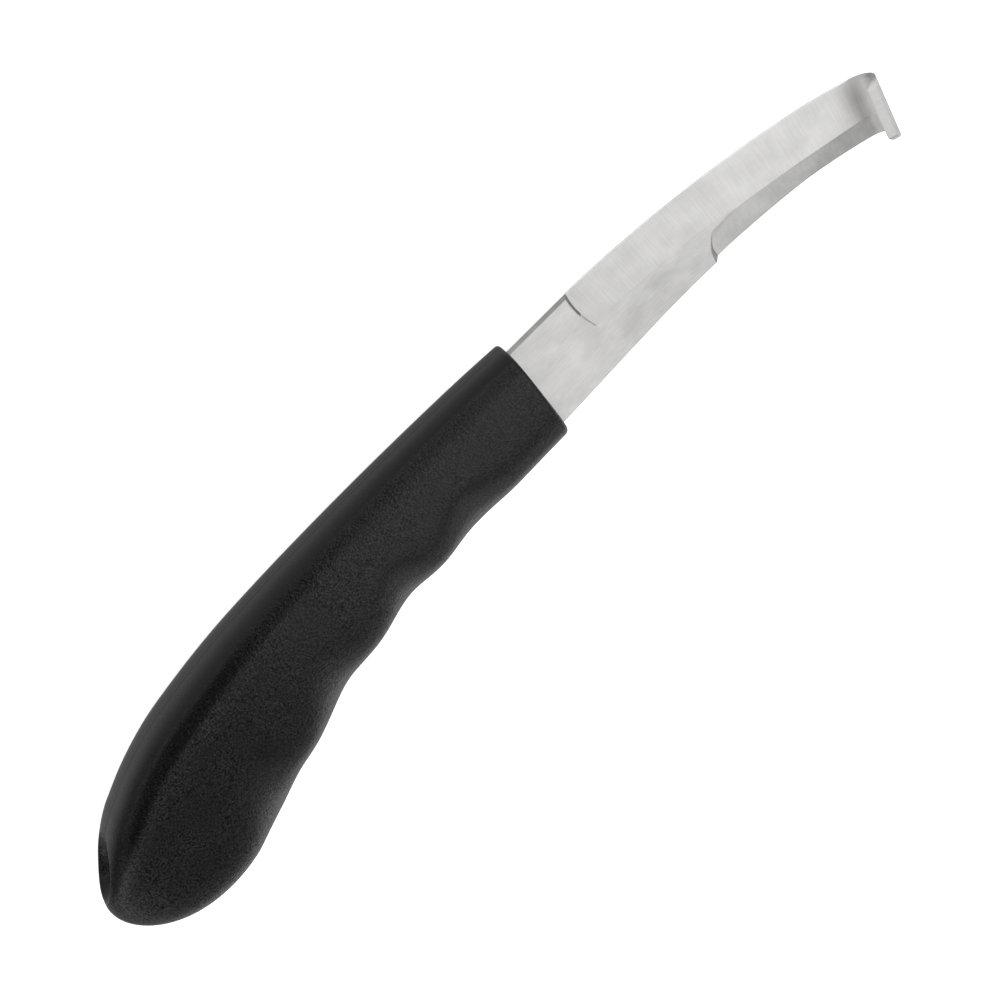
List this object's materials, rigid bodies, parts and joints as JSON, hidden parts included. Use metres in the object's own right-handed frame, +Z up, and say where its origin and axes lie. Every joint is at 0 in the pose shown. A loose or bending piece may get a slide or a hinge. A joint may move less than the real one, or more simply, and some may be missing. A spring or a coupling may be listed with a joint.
{
  "type": "hoof knife",
  "caption": "Fixed-blade hoof knife: curved, double-bevelled steel blade with a tight rolled hook at its tip, in a moulded polymer grip with finger grooves and a swelled, rounded butt.",
  "frame": {"origin": "centre of the footprint (bounding box), on the surface the knife lies on", "axes": "+X along the knife from the butt to the hook; +Y towards the back of the knife, its convex side; +Z up, towards the bevelled face that the hook curls over"},
  "size_m": [0.2144, 0.0378, 0.024],
  "materials": {
    "steel": "satin, ground across the bevels",
    "grip_polymer": "fine leathery grain"
  },
  "bodies": {
    "root": {"blade": "steel", "handle": "grip_polymer"}
  },
  "joints": []
}
